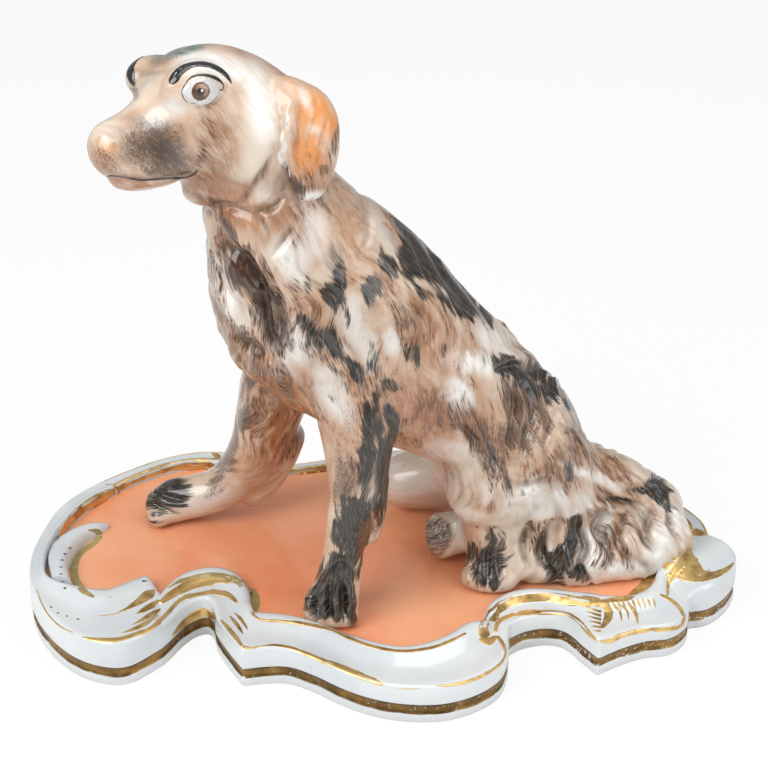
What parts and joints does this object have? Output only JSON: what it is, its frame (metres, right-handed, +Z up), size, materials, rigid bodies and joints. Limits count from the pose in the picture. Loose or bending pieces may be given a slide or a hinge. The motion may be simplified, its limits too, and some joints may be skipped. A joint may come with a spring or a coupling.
{
  "type": "dog figurine",
  "caption": "Porcelain ornament of a seated long-haired dog with hanging ears, luted to a low plinth edged with gilt scroll mouldings.",
  "frame": {"origin": "middle of the plinth's outline, at the level it stands on", "axes": "+X towards the tail end of the plinth, +Y towards its far side, +Z up; the dog faces -X with its head turned towards -Y"},
  "size_m": [0.2616, 0.148, 0.2192],
  "materials": {
    "white_glaze": "clear glossy glaze over white hard-paste porcelain, with gilt lines, a brown-gold band and a coral ground",
    "painted_coat": "glossy glaze, hand-painted in brown, black and tan hair strokes over cream",
    "painted_ear": "glossy glaze, hand-painted in orange and brown hair strokes"
  },
  "bodies": {
    "root": {"plinth": "white_glaze", "rim_left_scroll": "white_glaze", "rim_wave": "white_glaze", "rim_front_panel": "white_glaze", "rim_front_scroll": "white_glaze", "rim_gilt_hollow": "white_glaze", "rim_shell_panel": "white_glaze", "rim_right_scroll": "white_glaze", "rim_back_right": "white_glaze", "rim_back_hollow": "white_glaze", "rim_back_scroll": "white_glaze", "rim_back_left": "white_glaze", "left_scroll_leaf": "white_glaze", "torso": "painted_coat", "head": "painted_coat", "left_ear": "painted_ear", "right_ear": "painted_ear", "left_foreleg": "painted_coat", "right_foreleg": "painted_coat", "left_hind_leg": "painted_coat", "right_hind_leg": "painted_coat", "tail": "painted_coat"}
  },
  "joints": []
}
